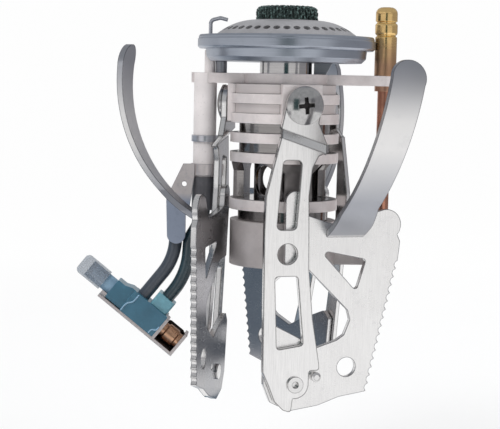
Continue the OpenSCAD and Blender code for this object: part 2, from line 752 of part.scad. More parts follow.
module leg_rivet(angle, swing) color("silver") on_leg(angle, swing) translate([rivet_s, rivet_z, 0]) difference() {
    inner_n = tab_n - run - 0.6;
    outer_n = bar_n + sheet_t;
    union() {
        translate([0, 0, inner_n]) cylinder(h = 0.6, r = rivet_r + 0.8);
        translate([0, 0, inner_n]) cylinder(h = outer_n - inner_n, r = rivet_r);
        translate([0, 0, outer_n]) cylinder(h = 0.8, r = rivet_r + 0.9);
    }
    translate([0, 0, outer_n - 0.6]) cylinder(h = 2, r = rivet_r - 0.6);
}

// Toothed edge of the pot support, from its lower corner to its upper one
edge_low = [22, rivet_z - 3.4];
edge_high = [31.4, rivet_z + 37.4];
tooth_count = floor(norm(edge_high - edge_low) / tooth_pitch);
edge_dir = (edge_high - edge_low) / norm(edge_high - edge_low);
edge_out = [edge_dir[1], -edge_dir[0]];
tooth_r = 0.46 * tooth_pitch;
tooth_out = edge_out * (tooth_r - tooth_depth);

// Pot support plate: toothed right edge, lobe, strut and a rounded finger behind the bar
module support_face() {
    difference() {
        union() {
            polygon(rounded([
                [-9, rivet_z - 5.6], [-2.9, rivet_z - 8.6], [6.4, rivet_z - 7.2], [13.2, rivet_z - 4.8],
                edge_low, edge_high, [32, rivet_z + 43], [27.4, root_z + 6.4], [23.6, root_z + 5.6],
                [19, root_z], [8, root_z + 2.6], [0.9, root_z + 5], [0.8, root_z + 9],
                [-5.2, root_z + 9], [-5.2, rivet_z + 36.4], [2.6, rivet_z + 34.6], [15.4, rivet_z + 22],
                [16.2, rivet_z + 19], [14.4, rivet_z + 14.4], [12, rivet_z + 12.8],
                [5.2, rivet_z + 10.6], [0.8, rivet_z + 13.4], [-8.8, rivet_z + 18.4], [-11.2, rivet_z + 16],
                [-11.2, rivet_z]
            ], edge_round));
            translate([27.3, root_z + 1.6]) circle(r = 4.8);
            translate([-2.2, root_z + 9]) circle(r = 3);
        }
        polygon(rounded([
            [6, rivet_z + 40.6], [21, rivet_z + 37.6], [18, rivet_z + 27.8]
        ], 0.9));
        for (i = [0 : tooth_count - 1])
            translate(edge_low + edge_dir * tooth_pitch * (i + 0.5) + tooth_out) circle(r = tooth_r, $fn = 24);
        translate([15.4, rivet_z + 4.4]) circle(r = 3);
        translate([rivet_s, rivet_z]) circle(r = rivet_r + run);
        translate([rivet_s + 6.8, rivet_z + 2]) circle(r = pin_r - 0.4 + fixed);
    }
}

// Strap outline seen from outside: a leaning band with a round top
module strap_face() {
    half = strap_w / 2;
    translate([strap_high_s, strap_top - half]) circle(r = half);
    polygon([
        [strap_low_s - half, root_z - 2], [strap_low_s - half, root_z + 6],
        [strap_high_s - half, strap_top - half], [strap_high_s + half, strap_top - half],
        [strap_low_s + half + 0.4, root_z + 8], [strap_low_s + half + 1.4, root_z + 2],
        [strap_low_s + half + 1.4, root_z - 2]
    ]);
}

// Curved sheet that the strap is cut from, drawn across the unit
module strap_curve() {
    reach = hoop_out + 4;
    translate([0, hoop_z, hoop_n]) rotate([0, 90, 0]) difference() {
        cylinder(h = 2 * reach, r = hoop_out);
        translate([0, 0, -1]) cylinder(h = 2 * reach + 2, r = hoop_in);
    }
}

module pot_support(angle, swing) color("lightsteelblue") on_leg(angle, swing) {
    translate([0, 0, tab_n]) linear_extrude(sheet_t) support_face();
    intersection() {
        strap_curve();
        translate([0, 0, tab_n]) linear_extrude(2 * hoop_r) strap_face();
    }
}

module stop_pin(angle, swing) color("silver") on_leg(angle, swing) translate([rivet_s + 6.8, rivet_z + 2, tab_n]) {
    cylinder(h = sheet_t, r = pin_r - 0.4);
    translate([0, 0, sheet_t]) cylinder(h = sheet_gap + sheet_t, r = pin_r);
    translate([0, 0, 2 * sheet_t + sheet_gap]) cylinder(h = 0.6, r1 = pin_r, r2 = pin_r - 0.6);
}

base_mount();
valve_block();
finned_body();
air_shroud();
gas_jet();
mixing_tube();
top_plate();
burner_struts();
burner_bowl();
burner_ring();
burner_cap();
flame_mesh();
canister_seal();
depressor_pin();
spindle_seal();
spindle_gland();
valve_spindle();
valve_knob();
heat_rod();
heat_head();
rod_collar();
electrode_wire();
electrode_ceramic();
insulator_tube();
insulator_clip();
insulator_boot();
igniter_bracket();
lead_ht();
lead_earth();
lead_collar();
igniter_body();
igniter_plunger();
igniter_button();
igniter_frame();
igniter_contact();
pivot_screws();
wave_washers();
leg_bar(angle_a, swing_a);  // leg_bar_a
leg_bar(angle_b, swing_b);  // leg_bar_b
leg_bar(angle_c, swing_c);  // leg_bar_c
leg_rivet(angle_a, swing_a);  // leg_rivet_a
leg_rivet(angle_b, swing_b);  // leg_rivet_b
leg_rivet(angle_c, swing_c);  // leg_rivet_c
pot_support(angle_a, swing_a);  // pot_support_a
pot_support(angle_b, swing_b);  // pot_support_b
pot_support(angle_c, swing_c);  // pot_support_c
stop_pin(angle_a, swing_a);  // stop_pin_a
stop_pin(angle_b, swing_b);  // stop_pin_b
stop_pin(angle_c, swing_c);  // stop_pin_c
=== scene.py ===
"""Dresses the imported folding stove: metal, plastic and ceramic finishes, the knitted flame mesh,
the canister thread, the small trim of the igniter, and a plain pale studio."""

import math

import bmesh
import bpy
from bpy.props import FloatProperty, FloatVectorProperty, IntProperty, PointerProperty
from bpy.types import Operator, Panel, PropertyGroup
from mathutils import Matrix, Vector


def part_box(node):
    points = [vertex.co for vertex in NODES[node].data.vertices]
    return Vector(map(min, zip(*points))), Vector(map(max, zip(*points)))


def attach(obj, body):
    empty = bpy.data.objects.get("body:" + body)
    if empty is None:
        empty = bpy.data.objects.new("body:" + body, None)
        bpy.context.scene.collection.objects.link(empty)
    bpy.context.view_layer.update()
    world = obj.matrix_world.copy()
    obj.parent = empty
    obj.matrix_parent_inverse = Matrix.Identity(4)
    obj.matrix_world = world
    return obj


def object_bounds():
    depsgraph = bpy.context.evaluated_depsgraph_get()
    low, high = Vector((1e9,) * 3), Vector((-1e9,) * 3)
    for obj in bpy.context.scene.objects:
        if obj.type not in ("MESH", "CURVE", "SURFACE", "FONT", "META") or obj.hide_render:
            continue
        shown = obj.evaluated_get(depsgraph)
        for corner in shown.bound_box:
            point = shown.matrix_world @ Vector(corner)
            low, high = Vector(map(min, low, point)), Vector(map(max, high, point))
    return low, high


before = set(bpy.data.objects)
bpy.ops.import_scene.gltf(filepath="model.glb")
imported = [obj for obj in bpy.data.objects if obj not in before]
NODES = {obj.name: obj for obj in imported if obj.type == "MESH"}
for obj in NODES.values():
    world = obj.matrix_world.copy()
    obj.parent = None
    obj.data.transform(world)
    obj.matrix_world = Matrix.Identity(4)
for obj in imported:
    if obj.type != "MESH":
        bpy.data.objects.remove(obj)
cad_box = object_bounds()

bl_info = {
    "name": "Folding stove dresser",
    "version": (1, 0, 0),
    "blender": (4, 5, 0),
    "location": "3D View > Sidebar > Stove",
    "description": "Finishes and small pieces for a folding canister-top camping stove",
    "category": "Object",
}

MM = 0.001
UNIT_ANGLES = {"a": -72.0, "b": 168.0, "c": 48.0}

mesh_low, mesh_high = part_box("flame_mesh")
head_low, head_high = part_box("heat_head")
tube_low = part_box("insulator_tube")[0]
plunger_low, plunger_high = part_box("igniter_plunger")
screw_low, screw_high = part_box("pivot_screws")

# The screws' axes are level; a head's cross recess is inside this radius and below its top
SCREW_HEIGHT = (screw_low[2] + screw_high[2]) / 2.0
SCREW_TOP = 21.5 * MM
RECESS_RADIUS = 2.5 * MM
# Painted shade: the cross recess is filled with this near-black tone
RECESS_SHADE_TONE = (0.030, 0.026, 0.026)

# Inside these radii lie the body's bright core, the gaps between its fins, and what blends into the fins
CORE_RADIUS = 14.5 * MM
GAP_RADIUS = 16.2 * MM
FIN_RADIUS = 16.7 * MM

# The gaps are deep below this height, and shallow lands above it
LAND_HEIGHT = 44.0 * MM

# A support's plate lies flat inside the first distance from the axis, its strap beyond the second
PLATE_OUT = 19.3 * MM
STRAP_OUT = 21.2 * MM

# Room under the stove for the supports to turn down on their rivets
FOLDING_ROOM = 30.0 * MM

# The igniter's axis falls to the right; its plunger starts at the upper left end
IGNITER_TILT = math.radians(38.7)
PLUNGER_RADIUS = (plunger_high[1] - plunger_low[1]) / 2.0
IGNITER_AXIS = Vector((math.cos(IGNITER_TILT), 0.0, -math.sin(IGNITER_TILT)))
PLUNGER_TIP = Vector((
    plunger_low[0] + PLUNGER_RADIUS * math.sin(IGNITER_TILT),
    (plunger_low[1] + plunger_high[1]) / 2.0,
    plunger_high[2] - PLUNGER_RADIUS * math.cos(IGNITER_TILT),
))
IGNITER_UP = Vector((math.sin(IGNITER_TILT), 0.0, math.cos(IGNITER_TILT)))
PLUNGER_START = 3.2 * MM
BAND_LENGTH = 1.55 * MM


def on_igniter(along, across, up):
    """A point of the igniter from its own sizes: along its axis, across it and up from it"""
    beside = Vector((0.0, across, 0.0))
    return PLUNGER_TIP + (along - PLUNGER_START) * IGNITER_AXIS + up * IGNITER_UP + beside


class StoveSizes(PropertyGroup):
    """Sizes of the small pieces, of the surface detail and of the view"""

    wire_radius: FloatProperty(
        name="Mesh wire radius", description="Radius of the knitted wire on the burner",
        default=0.23 * MM, min=0.08 * MM, max=0.3 * MM, unit="LENGTH", precision=5,
    )
    wire_courses: IntProperty(
        name="Mesh courses", description="Rows of loops from the middle of the mesh to its foot",
        default=8, min=6, max=20,
    )
    wire_loops: IntProperty(
        name="Mesh loops", description="Loops round the outermost row of the mesh",
        default=27, min=20, max=70,
    )
    thread_pitch: FloatProperty(
        name="Thread pitch", description="Rise of the canister thread in one turn",
        default=0.907 * MM, min=0.6 * MM, max=1.5 * MM, unit="LENGTH", precision=5,
    )
    thread_depth: FloatProperty(
        name="Thread depth", description="Height of the thread above its wall",
        default=0.42 * MM, min=0.2 * MM, max=0.6 * MM, unit="LENGTH", precision=5,
    )
    edge_round: FloatProperty(
        name="Edge rounding", description="Width of the broken edge on the metal parts",
        default=0.30 * MM, min=0.0, max=0.6 * MM, unit="LENGTH", precision=5,
    )
    blast_grain: FloatProperty(
        name="Blast grain", description="Size of the pits on blasted aluminium",
        default=0.19 * MM, min=0.05 * MM, max=0.6 * MM, unit="LENGTH", precision=5,
    )
    brush_width: FloatProperty(
        name="Brush line", description="Width of a brushed line on the sheet metal",
        default=0.19 * MM, min=0.05 * MM, max=0.6 * MM, unit="LENGTH", precision=5,
    )
    view_distance: FloatProperty(
        name="Camera distance", description="Distance from the burner axis to the camera",
        default=0.447, min=0.3, max=0.8, unit="LENGTH",
    )
    eye_height: FloatProperty(
        name="Eye height", description="Height of the camera above the base",
        default=0.0567, min=0.0, max=0.2, unit="LENGTH",
    )
    lens: FloatProperty(
        name="Lens", description="Focal length on a 36 mm wide frame",
        default=102.96, min=50.0, max=200.0, unit="CAMERA",
    )


def colour(name, description, value):
    """A colour that a user can change"""
    return FloatVectorProperty(
        name=name, description=description, subtype="COLOR", size=3, min=0.0, max=1.0, default=value,
    )


class StoveColours(PropertyGroup):
    """Colours of the stove's finishes"""

    blasted: colour("Blasted aluminium", "Body, cross plate and base", (0.690, 0.635, 0.625))
    # Painted shade: the turned core is toned dark for the shade deep between the lower fins
    bored: colour("Turned core", "Bright core between the lower fins", (0.300, 0.283, 0.277))
    sheet: colour("Polished sheet", "Bars and pot supports", (0.830, 0.820, 0.815))
    satin: colour("Satin steel", "Straps of the pot supports", (0.400, 0.410, 0.445))
    ring: colour("Ring steel", "Burner ring and bowl", (0.430, 0.465, 0.530))
    cap: colour("Burner cap", "Perforated cap of the burner", (0.430, 0.425, 0.440))
    neck: colour("Bright neck", "Mixing tube under the burner", (0.560, 0.545, 0.540))
    brass: colour("Brass", "Heat head and gas fittings", (0.990, 0.640, 0.275))
    tint: colour("Heat tint", "Darkened part of the heat head", (0.390, 0.225, 0.155))
    copper: colour("Copper", "Heat rod", (0.430, 0.205, 0.140))
    ceramic: colour("Ceramic", "Insulator tube", (0.790, 0.740, 0.730))
    clip: colour("Clip steel", "Clip round the insulator", (0.600, 0.600, 0.640))
    bracket: colour("Bracket steel", "Igniter bracket below its bend", (0.330, 0.375, 0.470))
    lead: colour("Dark lead", "Sleeve of the spark lead", (0.016, 0.036, 0.046))
    earth: colour("Grey lead", "Sleeve of the earth lead", (0.046, 0.056, 0.072))
    teal: colour("Teal plastic", "Igniter body", (0.038, 0.125, 0.185))
    collar: colour("Collar plastic", "Collar of the spark lead", (0.125, 0.290, 0.350))
    pale: colour("Light plastic", "Igniter plunger", (0.215, 0.345, 0.465))
    clear: colour("Clear plastic", "Igniter button", (0.280, 0.325, 0.385))
    wire: colour("Mesh wire", "Knitted wire on the burner", (0.046, 0.068, 0.064))
    rubber: colour("Rubber", "Boot and seals", (0.072, 0.070, 0.078))
    knob: colour("Knob", "Valve knob", (0.045, 0.045, 0.050))
    contact: colour("Spark contact", "Copper windings in the igniter's frame", (0.600, 0.350, 0.220))
    # Painted shade: the near-black plate behind the contact stands in for the shade inside the igniter's
    # frame
    shade_plate: colour("Contact shield", "Dark plate behind the spark contact", (0.060, 0.048, 0.042))
    floor: colour("Floor", "Plain floor and backdrop", (0.860, 0.860, 0.860))


class Value:
    """A number that changes over a surface, so that sums and products add Math nodes"""

    def __init__(self, tree, socket):
        self.tree = tree
        self.socket = socket

    def _math(self, operation, first, second=None):
        node = self.tree.nodes.new("ShaderNodeMath")
        node.operation = operation
        for index, operand in enumerate((first, second)):
            if isinstance(operand, Value):
                self.tree.links.new(operand.socket, node.inputs[index])
            elif operand is not None:
                node.inputs[index].default_value = operand
        return Value(self.tree, node.outputs[0])

    def __add__(self, other):
        return self._math("ADD", self, other)

    def __radd__(self, other):
        return self._math("ADD", other, self)

    def __sub__(self, other):
        return self._math("SUBTRACT", self, other)

    def __rsub__(self, other):
        return self._math("SUBTRACT", other, self)

    def __mul__(self, other):
        return self._math("MULTIPLY", self, other)

    def __rmul__(self, other):
        return self._math("MULTIPLY", other, self)

    def most(self, other):
        """The larger of two values"""
        return self._math("MAXIMUM", self, other)

    def least(self, other):
        """The smaller of two values"""
        return self._math("MINIMUM", self, other)

    def root(self):
        """The square root"""
        return self._math("SQRT", self)


def shade(base, factor):
    """A colour made lighter or darker"""
    return tuple(min(1.0, part * factor) for part in base)


# The Mix node's outputs are a number, a vector and a colour, in that order
COLOUR_RESULT = 2


class Finish:
    """One procedural material, built up from textures in the stove's own frame"""

    def __init__(self, name):
        self.material = bpy.data.materials.new(name)
        self.material.use_nodes = True
        self.tree = self.material.node_tree
        self.shader = self.tree.nodes["Principled BSDF"]
        self.place = self.add("ShaderNodeTexCoord").outputs["Object"]
        self.rounded = None

    def add(self, kind, settings=None, **sockets):
        """A node of any type: settings first, then the values or links of its sockets"""
        node = self.tree.nodes.new(kind)
        for key, value in (settings or {}).items():
            setattr(node, key, value)
        for key, value in sockets.items():
            self.feed(node.inputs[self._socket(node, key)], value)
        return node

    @staticmethod
    def _socket(node, key):
        wanted = key.replace("_", " ").lower()
        for index, socket in enumerate(node.inputs):
            if socket.enabled and socket.name.lower() == wanted:
                return index
        raise KeyError(f"{node.bl_idname} has no socket {key}")

    def feed(self, socket, value):
        """Links a value or an output to a socket, or sets a plain number or colour on it"""
        if isinstance(value, Value):
            self.tree.links.new(value.socket, socket)
        elif isinstance(value, bpy.types.NodeSocket):
            self.tree.links.new(value, socket)
        elif socket.type == "RGBA" and len(value) == 3:
            socket.default_value = (*value, 1.0)
        else:
            socket.default_value = value

    def set(self, **sockets):
        """Sets or links sockets of the main shader"""
        for key, value in sockets.items():
            self.feed(self.shader.inputs[self._socket(self.shader, key)], value)

    def axes(self):
        """The point's X, Y and Z in metres"""
        split = self.add("ShaderNodeSeparateXYZ", Vector=self.place)
        return [Value(self.tree, out) for out in split.outputs]

    def height(self):
        """The point's Z in metres"""
        return self.axes()[2]

    def along(self, origin, direction):
        """How far the point lies along a direction from an origin"""
        x, y, z = self.axes()
        direction = Vector(direction).normalized()
        start = Vector(origin).dot(direction)
        return x * direction.x + y * direction.y + z * direction.z - start

    def reach(self):
        """How far the point lies from the burner's axis"""
        x, y = self.axes()[:2]
        return (x * x + y * y).root()

    def noise(self, scale, stretch=(1.0, 1.0, 1.0), detail=3.0, roughness=0.5):
        """Noise from 0 to 1, with scale grains in a metre, that can be drawn out along an axis"""
        mapping = self.add("ShaderNodeMapping", Vector=self.place, Scale=stretch)
        grain = self.add(
            "ShaderNodeTexNoise",
            Vector=mapping.outputs[0], Scale=scale, Detail=detail, Roughness=roughness,
        )
        return Value(self.tree, grain.outputs[0])

    def ramp(self, value, low, high):
        """The value spread out so that low gives 0 and high gives 1"""
        node = self.add(
            "ShaderNodeMapRange", {"clamp": True}, Value=value,
            From_Min=low, From_Max=high, To_Min=0.0, To_Max=1.0,
        )
        return Value(self.tree, node.outputs[0])

    def patches(self, scale, low, high, detail=5.0):
        """Patches that cover the part of the surface where the noise passes low, full at high"""
        return self.ramp(self.noise(scale, detail=detail, roughness=0.65), low, high)

    def facing(self, direction):
        """1 where the surface faces along a direction, -1 where it faces away"""
        node = self.add("ShaderNodeVectorMath", {"operation": "DOT_PRODUCT"})
        self.feed(node.inputs[0], self.add("ShaderNodeNewGeometry").outputs["Normal"])
        self.feed(node.inputs[1], direction)
        return Value(self.tree, node.outputs["Value"])

    def edges(self, widen=1.0):
        """1 along the piece's sharp edges, 0 on its faces; relief made later follows the rounded edge"""
        slight = 0.004
        full = 0.06
        width = widen * bpy.context.scene.stove_sizes.edge_round
        self.rounded = self.add("ShaderNodeBevel", {"samples": 8}, Radius=width).outputs[0]
        return self.ramp(1.0 - self.facing(self.rounded), slight, full)

    def blend(self, mask, first, second):
        """Colour that goes from first to second as the mask goes from 0 to 1"""
        node = self.add("ShaderNodeMix", {"data_type": "RGBA"}, Factor=mask, A=first, B=second)
        return node.outputs[COLOUR_RESULT]

    def varied(self, base, value, dark, light, low=0.3, high=0.7):
        """A colour that goes from a dark to a light shade of base as the value goes from low to high"""
        return self.blend(self.ramp(value, low, high), shade(base, dark), shade(base, light))

    def show(self, shader):
        """Makes a shader the material's surface"""
        self.feed(self.tree.nodes["Material Output"].inputs["Surface"], shader.outputs[0])

    def bump(self, height, distance, strength):
        """Surface relief of that depth in metres"""
        node = self.add("ShaderNodeBump", Strength=strength, Distance=distance, Height=height)
        if self.rounded is not None:
            self.feed(node.inputs["Normal"], self.rounded)
        self.set(Normal=node.outputs[0])


def blasted_metal(name, base, grain, core_tone=None, metal=0.55, rim=1.25, wear_and_painted_light=0.25):
    """Bead-blasted aluminium: a pitted, cloudy skin with edges in the rim tone, round a turned core if
    toned. Lighter edges are partly rubbed wear and partly painted highlight; a low rim paints dark shade
    on the edges. The gaps between the fins carry painted shade.
    """
    finish = Finish(name)
    pits = finish.noise(1.0 / grain, detail=2.0, roughness=0.6)
    clouds = finish.noise(130.0, detail=4.0)
    handling = finish.patches(420.0, 0.52, 0.72)
    specks = finish.ramp(finish.noise(1500.0, detail=2.0), 0.60, 0.74)
    skin = finish.varied(base, clouds, 0.86, 1.08)
    skin = finish.blend(handling * 0.30, skin, shade(base, 0.72))
    skin = finish.blend(specks * 0.25, skin, shade(base, 1.35))
    # Edge tone: lighter is partly rubbed wear and partly painted highlight, darker is painted shade
    edges = finish.edges()
    skin = finish.blend(edges * wear_and_painted_light, skin, shade(base, rim))
    rough = 0.42 + 0.12 * clouds - 0.06 * handling
    if core_tone is not None:
        # Painted shade in the gaps between the fins: deep gaps below the land height almost black,
        # shallow lands a little darker with dark lines in their creases
        reach = finish.reach()
        bored = 1.0 - finish.ramp(reach, CORE_RADIUS, CORE_RADIUS + 0.25 * MM)
        groove = 1.0 - finish.ramp(reach, GAP_RADIUS, FIN_RADIUS)
        land = finish.ramp(finish.height(), LAND_HEIGHT - 0.3 * MM, LAND_HEIGHT)
        shadow = finish.varied(base, clouds, 0.15, 0.36, 0.35, 0.65)
        crease_shade = finish.blend(edges, shade(base, 0.80), shade(base, 0.14))
        skin = finish.blend(groove, skin, finish.blend(land, shadow, crease_shade))
        # Painted shade: the turned core's dark tone stands in for the shade between the lower fins
        rings = finish.noise(1.0, stretch=(60.0, 60.0, 5000.0), detail=2.0)
        turned = finish.varied(core_tone, rings, 0.82, 1.10)
        skin = finish.blend(bored, skin, turned)
        rough = rough * (1.0 - bored) + 0.13 * bored
        metal = metal + (1.0 - metal) * bored
        pits = pits * (1.0 - bored) + 0.3 * bored * rings
    finish.set(Base_Color=skin, Metallic=metal, Roughness=rough)
    finish.bump(pits + 0.4 * handling, 0.05 * MM, 0.5)
    return finish.material


def brushed_metal(name, base, rough, stretch, depth, worn=0.25, rim=1.2, widen=1.0):
    """Brushed metal whose fine lines run along one axis, with edges lighter or darker by rim: lighter is
    partly rubbed wear and partly painted highlight, darker is painted shade
    """
    finish = Finish(name)
    lines = finish.noise(1.0, stretch=stretch, detail=3.0, roughness=0.65)
    smears = finish.noise(75.0, detail=4.0)
    marks = finish.patches(310.0, 0.56, 0.70, detail=6.0)
    tone = finish.varied(base, lines, 0.88, 1.06, 0.25, 0.75)
    tone = finish.blend(finish.ramp(smears, 0.35, 0.75) * 0.2, tone, shade(base, 0.80))
    # Edge tone: lighter is partly rubbed wear and partly painted highlight, darker is painted shade
    tone = finish.blend(finish.edges(widen) * 0.9, tone, shade(base, rim))
    finish.set(
        Base_Color=finish.blend(marks * worn, tone, shade(base, 0.66)),
        Metallic=1.0,
        Roughness=rough + 0.12 * smears + 0.06 * marks - 0.05,
    )
    finish.bump(lines, depth, 0.6)
    return finish.material


# Painted shade: tones of the plates' inner face
INNER_SHADE_LOW = (0.355, 0.355, 0.375)
INNER_SHADE_HIGH = (0.425, 0.420, 0.430)


def support_metal(name, angle, bright, satin, brush):
    """Plate polished on its outer face, with painted shade on its inner face, a satin bent strap with a
    painted highlight across its middle, and painted shade along the edges
    """
    finish = Finish(name)
    turn = math.radians(angle)
    outwards = (math.cos(turn), math.sin(turn), 0.0)
    strap = finish.ramp(finish.along((0.0, 0.0, 0.0), outwards), PLATE_OUT, STRAP_OUT)
    # Painted shade: the face turned toward the axis takes a darker grey
    inner = 1.0 - finish.ramp(finish.facing(outwards), -0.7, 0.0)
    # Painted highlight: between these heights the strap is lightened to the plate's bright tone
    z = finish.height()
    above_foot = finish.ramp(z, 22.0 * MM, 38.0 * MM)
    near_tip = finish.ramp(z, 46.0 * MM, 62.0 * MM)
    wear_and_painted_light = above_foot * (1.0 - near_tip)
    lines = finish.noise(1.0, stretch=(1.0 / brush, 1.0 / brush, 140.0), roughness=0.65)
    smears = finish.noise(70.0, detail=4.0)
    marks = finish.patches(290.0, 0.57, 0.70, detail=6.0)
    scratches = finish.ramp(finish.noise(1.0, stretch=(240.0, 240.0, 4200.0), detail=2.0), 0.66, 0.74)
    plate = finish.varied(bright, lines, 0.91, 1.04, 0.25, 0.75)
    plate = finish.blend(finish.ramp(smears, 0.42, 0.75) * 0.22, plate, shade(bright, 0.74))
    dull_and_shaded = finish.blend(finish.ramp(smears, 0.3, 0.7), INNER_SHADE_LOW, INNER_SHADE_HIGH)
    plate = finish.blend(inner, plate, dull_and_shaded)
    curved = finish.varied(satin, smears, 0.92, 1.06)
    curved = finish.blend(wear_and_painted_light, curved, shade(bright, 0.94))
    both = finish.blend(strap, plate, curved)
    # Painted shade: dark lines along the plate's and strap's edges
    both = finish.blend(finish.edges(1.5) * 0.9, both, shade(satin, 0.42))
    finish.set(
        Base_Color=finish.blend(marks * 0.10, both, shade(satin, 0.90)),
        Metallic=1.0,
        Roughness=0.20 + 0.10 * strap + 0.12 * smears + 0.05 * marks + 0.05 * scratches,
    )
    finish.bump(lines + 0.5 * scratches, 0.012 * MM, 0.5)
    return finish.material


def screw_steel(name, base):
    """Polished screw heads with painted shade in the cross recess and along the edges"""
    finish = Finish(name)
    x, y, z = finish.axes()
    lift = z - SCREW_HEIGHT
    nearest = None
    for angle in UNIT_ANGLES.values():
        turn = math.radians(angle)
        side = y * math.cos(turn) - x * math.sin(turn)
        spread = (side * side + lift * lift).root()
        nearest = spread if nearest is None else nearest.least(spread)
    middle = 1.0 - finish.ramp(nearest, RECESS_RADIUS, RECESS_RADIUS + 0.2 * MM)
    sunk = 1.0 - finish.ramp(finish.reach(), SCREW_TOP - 1.0 * MM, SCREW_TOP - 0.7 * MM)
    recess_shade = middle * sunk
    lines = finish.noise(900.0, detail=4.0)
    marks = finish.patches(700.0, 0.56, 0.70)
    skin = finish.varied(base, lines, 0.88, 1.08)
    skin = finish.blend(marks * 0.25, skin, shade(base, 0.6))
    # Painted shade: darker edges
    skin = finish.blend(finish.edges(0.8) * 0.6, skin, shade(base, 0.5))
    finish.set(
        Base_Color=finish.blend(recess_shade, skin, RECESS_SHADE_TONE),
        Metallic=1.0 - 0.6 * recess_shade,
        Roughness=0.16 + 0.10 * marks + 0.3 * recess_shade,
    )
    finish.bump(lines, 0.006 * MM, 0.4)
    return finish.material


def heat_brass(name, base, tint, low, high):
    """Turned brass that is browned by the flame below"""
    finish = Finish(name)
    waver = finish.noise(260.0, detail=4.0)
    heat = 1.0 - finish.ramp(finish.height() + (waver - 0.5) * (5.0 * MM), low, high)
    rings = finish.noise(1.0, stretch=(60.0, 60.0, 5200.0), detail=2.0)
    stains = finish.patches(520.0, 0.52, 0.68)
    skin = finish.varied(base, rings, 0.84, 1.12)
    skin = finish.blend(stains * 0.35, skin, shade(base, 0.55))
    # Lighter edges: partly rubbed wear, partly painted highlight
    skin = finish.blend(finish.edges() * 0.4, skin, shade(base, 1.3))
    finish.set(
        Base_Color=finish.blend(heat * 0.88, skin, tint),
        Metallic=1.0,
        Roughness=0.17 + 0.20 * heat + 0.12 * stains,
    )
    finish.bump(rings, 0.015 * MM, 0.6)
    return finish.material


def drawn_copper(name, base, soot_low, soot_high):
    """Drawn copper, clouded by heat and handling and sooty at its hot end"""
    finish = Finish(name)
    clouds = finish.noise(170.0, detail=5.0)
    lines = finish.noise(1.0, stretch=(4200.0, 4200.0, 90.0), roughness=0.6)
    dull_and_shaded = finish.ramp(clouds, 0.42, 0.68)
    soot = finish.ramp(finish.height() + (clouds - 0.5) * (6.0 * MM), soot_low, soot_high)
    skin = finish.blend(dull_and_shaded * 0.7, shade(base, 1.15), shade(base, 0.55))
    finish.set(
        Base_Color=finish.blend(soot * 0.75, skin, shade(base, 0.35)),
        Metallic=1.0,
        Roughness=0.26 + 0.18 * dull_and_shaded + 0.15 * soot,
    )
    finish.bump(lines + 0.5 * dull_and_shaded, 0.014 * MM, 0.5)
    return finish.material


def fired_ceramic(name, base):
    """Unglazed fired ceramic with fine specks"""
    finish = Finish(name)
    grain = finish.noise(3600.0, detail=2.0)
    stain = finish.noise(140.0, detail=4.0)
    specks = finish.ramp(finish.noise(1500.0, detail=1.0), 0.66, 0.74)
    skin = finish.varied(base, stain, 0.90, 1.06)
    finish.set(
        Base_Color=finish.blend(specks * 0.35, skin, shade(base, 0.60)),
        Roughness=0.45 + 0.15 * grain,
        Coat_Weight=0.2,
        Coat_Roughness=0.3,
    )
    finish.bump(grain, 0.03 * MM, 0.4)
    return finish.material


def soft_rubber(name, base, rough, coat=0.0):
    """Rubber or sleeve with a fine skin and rubbed patches"""
    finish = Finish(name)
    skin = finish.noise(2600.0, detail=2.0)
    wear_and_painted_light = finish.patches(190.0, 0.50, 0.72)
    dust = finish.ramp(finish.noise(1700.0, detail=2.0), 0.64, 0.74)
    tone = finish.blend(wear_and_painted_light * 0.45, base, shade(base, 1.9))
    finish.set(
        Base_Color=finish.blend(dust * 0.2, tone, shade(base, 3.2)),
        Roughness=rough + 0.16 * wear_and_painted_light,
        Coat_Weight=coat,
        Coat_Roughness=0.16,
    )
    finish.bump(skin + 0.6 * wear_and_painted_light, 0.02 * MM, 0.5)
    return finish.material


def moulded_plastic(name, base, rough):
    """Moulded plastic with a spark-eroded skin and paler rubbed patches"""
    finish = Finish(name)
    skin = finish.noise(4200.0, detail=2.0)
    flow = finish.noise(150.0, detail=3.0)
    wear_and_painted_light = finish.patches(360.0, 0.55, 0.70, detail=6.0)
    tone = finish.varied(base, flow, 0.86, 1.14)
    tone = finish.blend(finish.edges() * 0.4, tone, shade(base, 1.6))
    finish.set(
        Base_Color=finish.blend(wear_and_painted_light * 0.3, tone, shade(base, 1.7)),
        Roughness=rough + 0.12 * wear_and_painted_light,
        Coat_Weight=0.15,
        Coat_Roughness=0.25,
    )
    finish.bump(skin, 0.015 * MM, 0.5)
    return finish.material


def banded_plunger(name, base, band):
    """Light plastic plunger whose tip carries a dark band"""
    finish = Finish(name)
    skin = finish.noise(4200.0, detail=2.0)
    flow = finish.noise(170.0, detail=3.0)
    depth = finish.along(PLUNGER_TIP, IGNITER_AXIS)
    tip = 1.0 - finish.ramp(depth, BAND_LENGTH - 0.1 * MM, BAND_LENGTH + 0.1 * MM)
    tone = finish.varied(base, flow, 0.90, 1.10)
    finish.set(Base_Color=finish.blend(tip, tone, band), Roughness=0.30 + 0.12 * flow)
    finish.bump(skin, 0.015 * MM, 0.5)
    return finish.material


def cloudy_plastic(name, base):
    """Cloudy see-through plastic of the igniter's button"""
    finish = Finish(name)
    haze = finish.noise(240.0, detail=4.0)
    scuffs = finish.patches(900.0, 0.55, 0.70)
    finish.set(
        Base_Color=finish.varied(base, haze, 0.90, 1.10),
        Roughness=0.20 + 0.20 * scuffs,
        Alpha=0.52,
        Coat_Weight=0.4,
        Coat_Roughness=0.12,
    )
    finish.bump(scuffs, 0.02 * MM, 0.4)
    return finish.material


